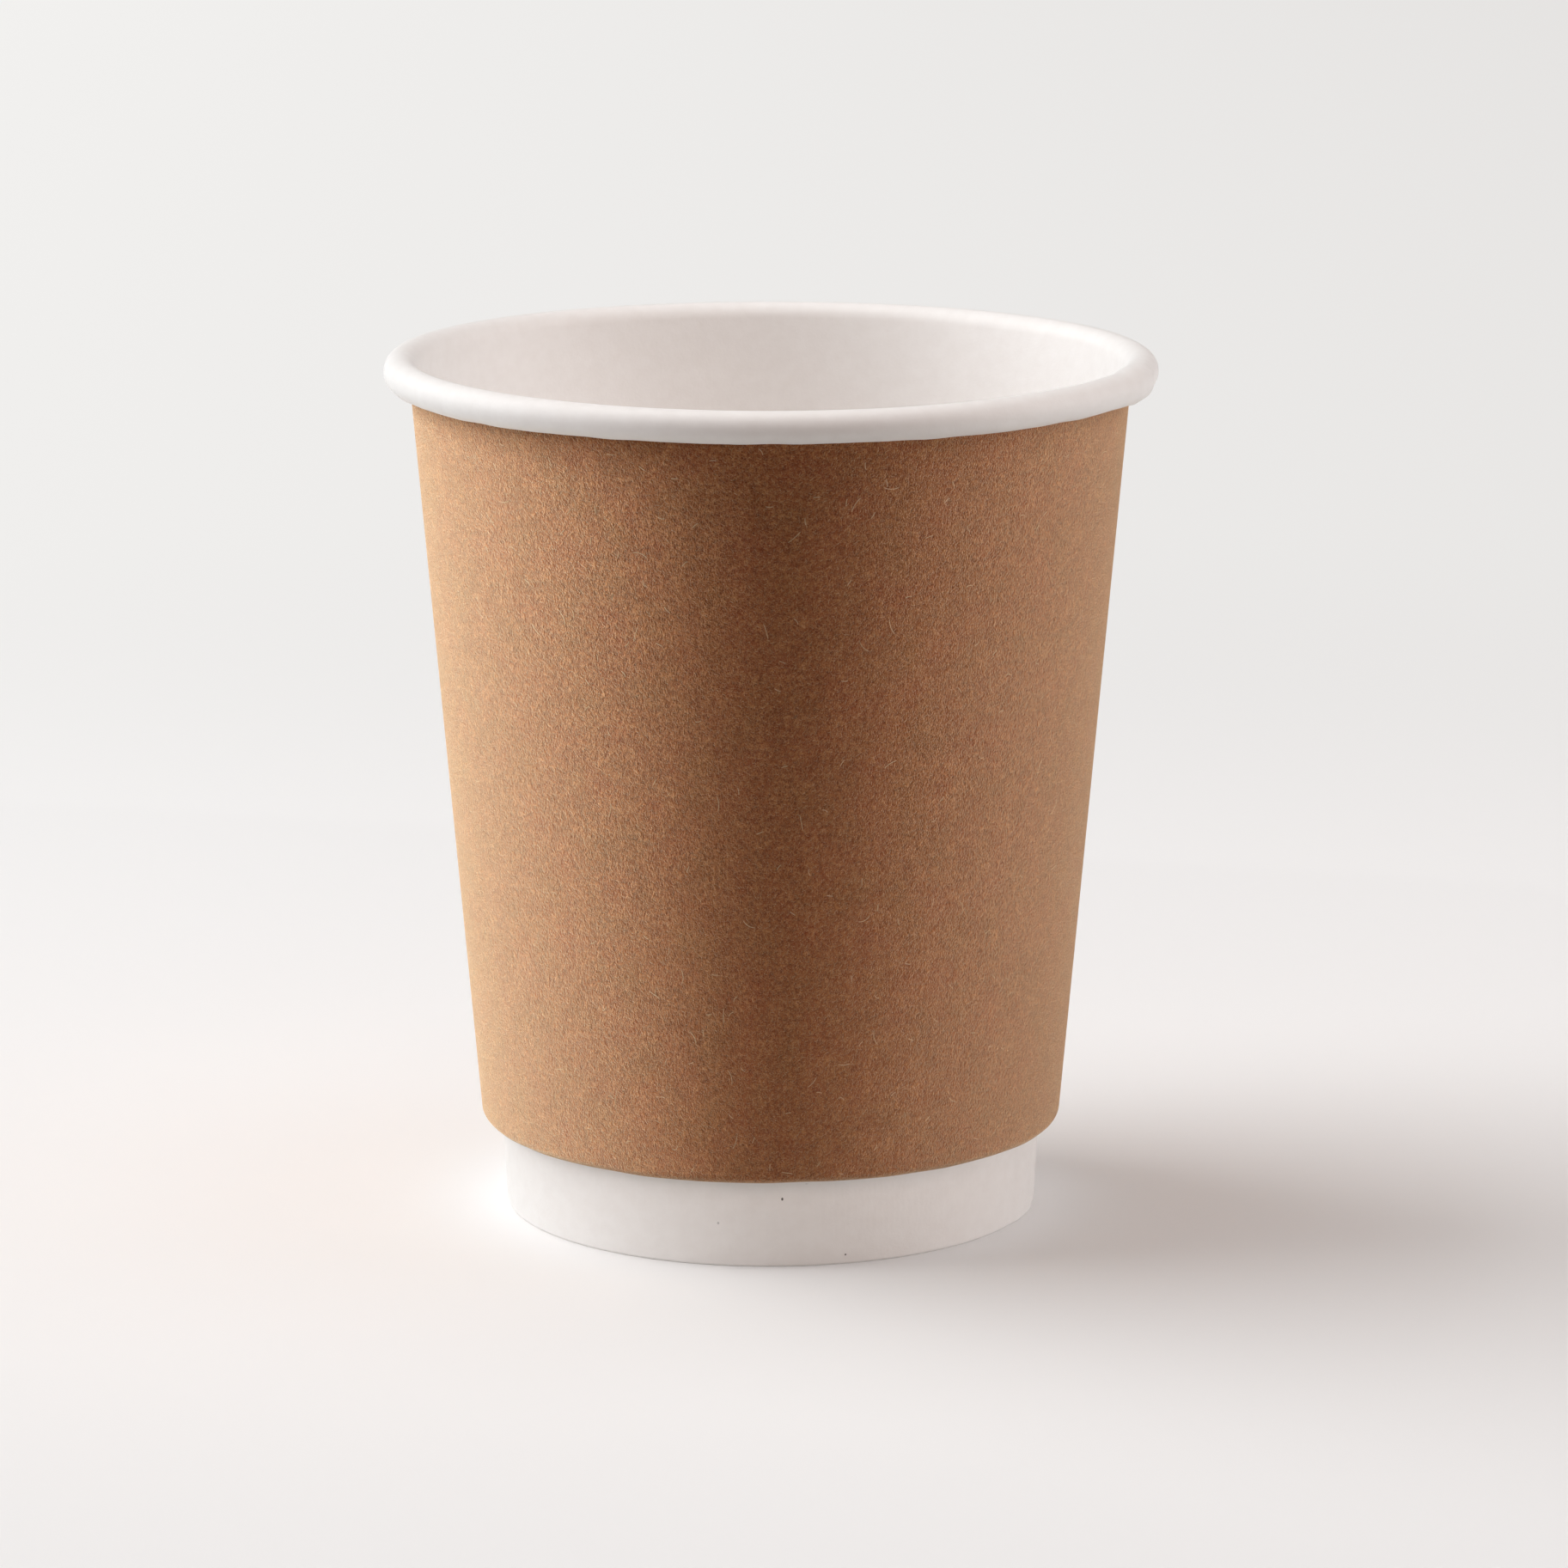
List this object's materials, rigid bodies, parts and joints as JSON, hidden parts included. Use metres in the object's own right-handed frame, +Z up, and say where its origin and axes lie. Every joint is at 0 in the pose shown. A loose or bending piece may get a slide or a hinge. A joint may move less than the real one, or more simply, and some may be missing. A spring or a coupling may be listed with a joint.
{
  "type": "double-wall paper cup",
  "caption": "Tapered paper cup for hot drinks: a white coated inner cup with a rolled rim, inside a brown kraft sleeve that is curled in above the foot and keeps an air gap.",
  "frame": {"origin": "on the cup's axis, at the ring that the cup stands on", "axes": "+Z up along the cup's axis, front faces -Y, the inner cup's side seam is on the right (+X) as seen from the front"},
  "size_m": [0.08, 0.08, 0.0901],
  "materials": {
    "white_board": "coated white cup board",
    "kraft_board": "uncoated brown kraft board"
  },
  "bodies": {
    "root": {"cup_wall": "white_board", "base_disc": "white_board", "kraft_sleeve": "kraft_board"}
  },
  "joints": []
}
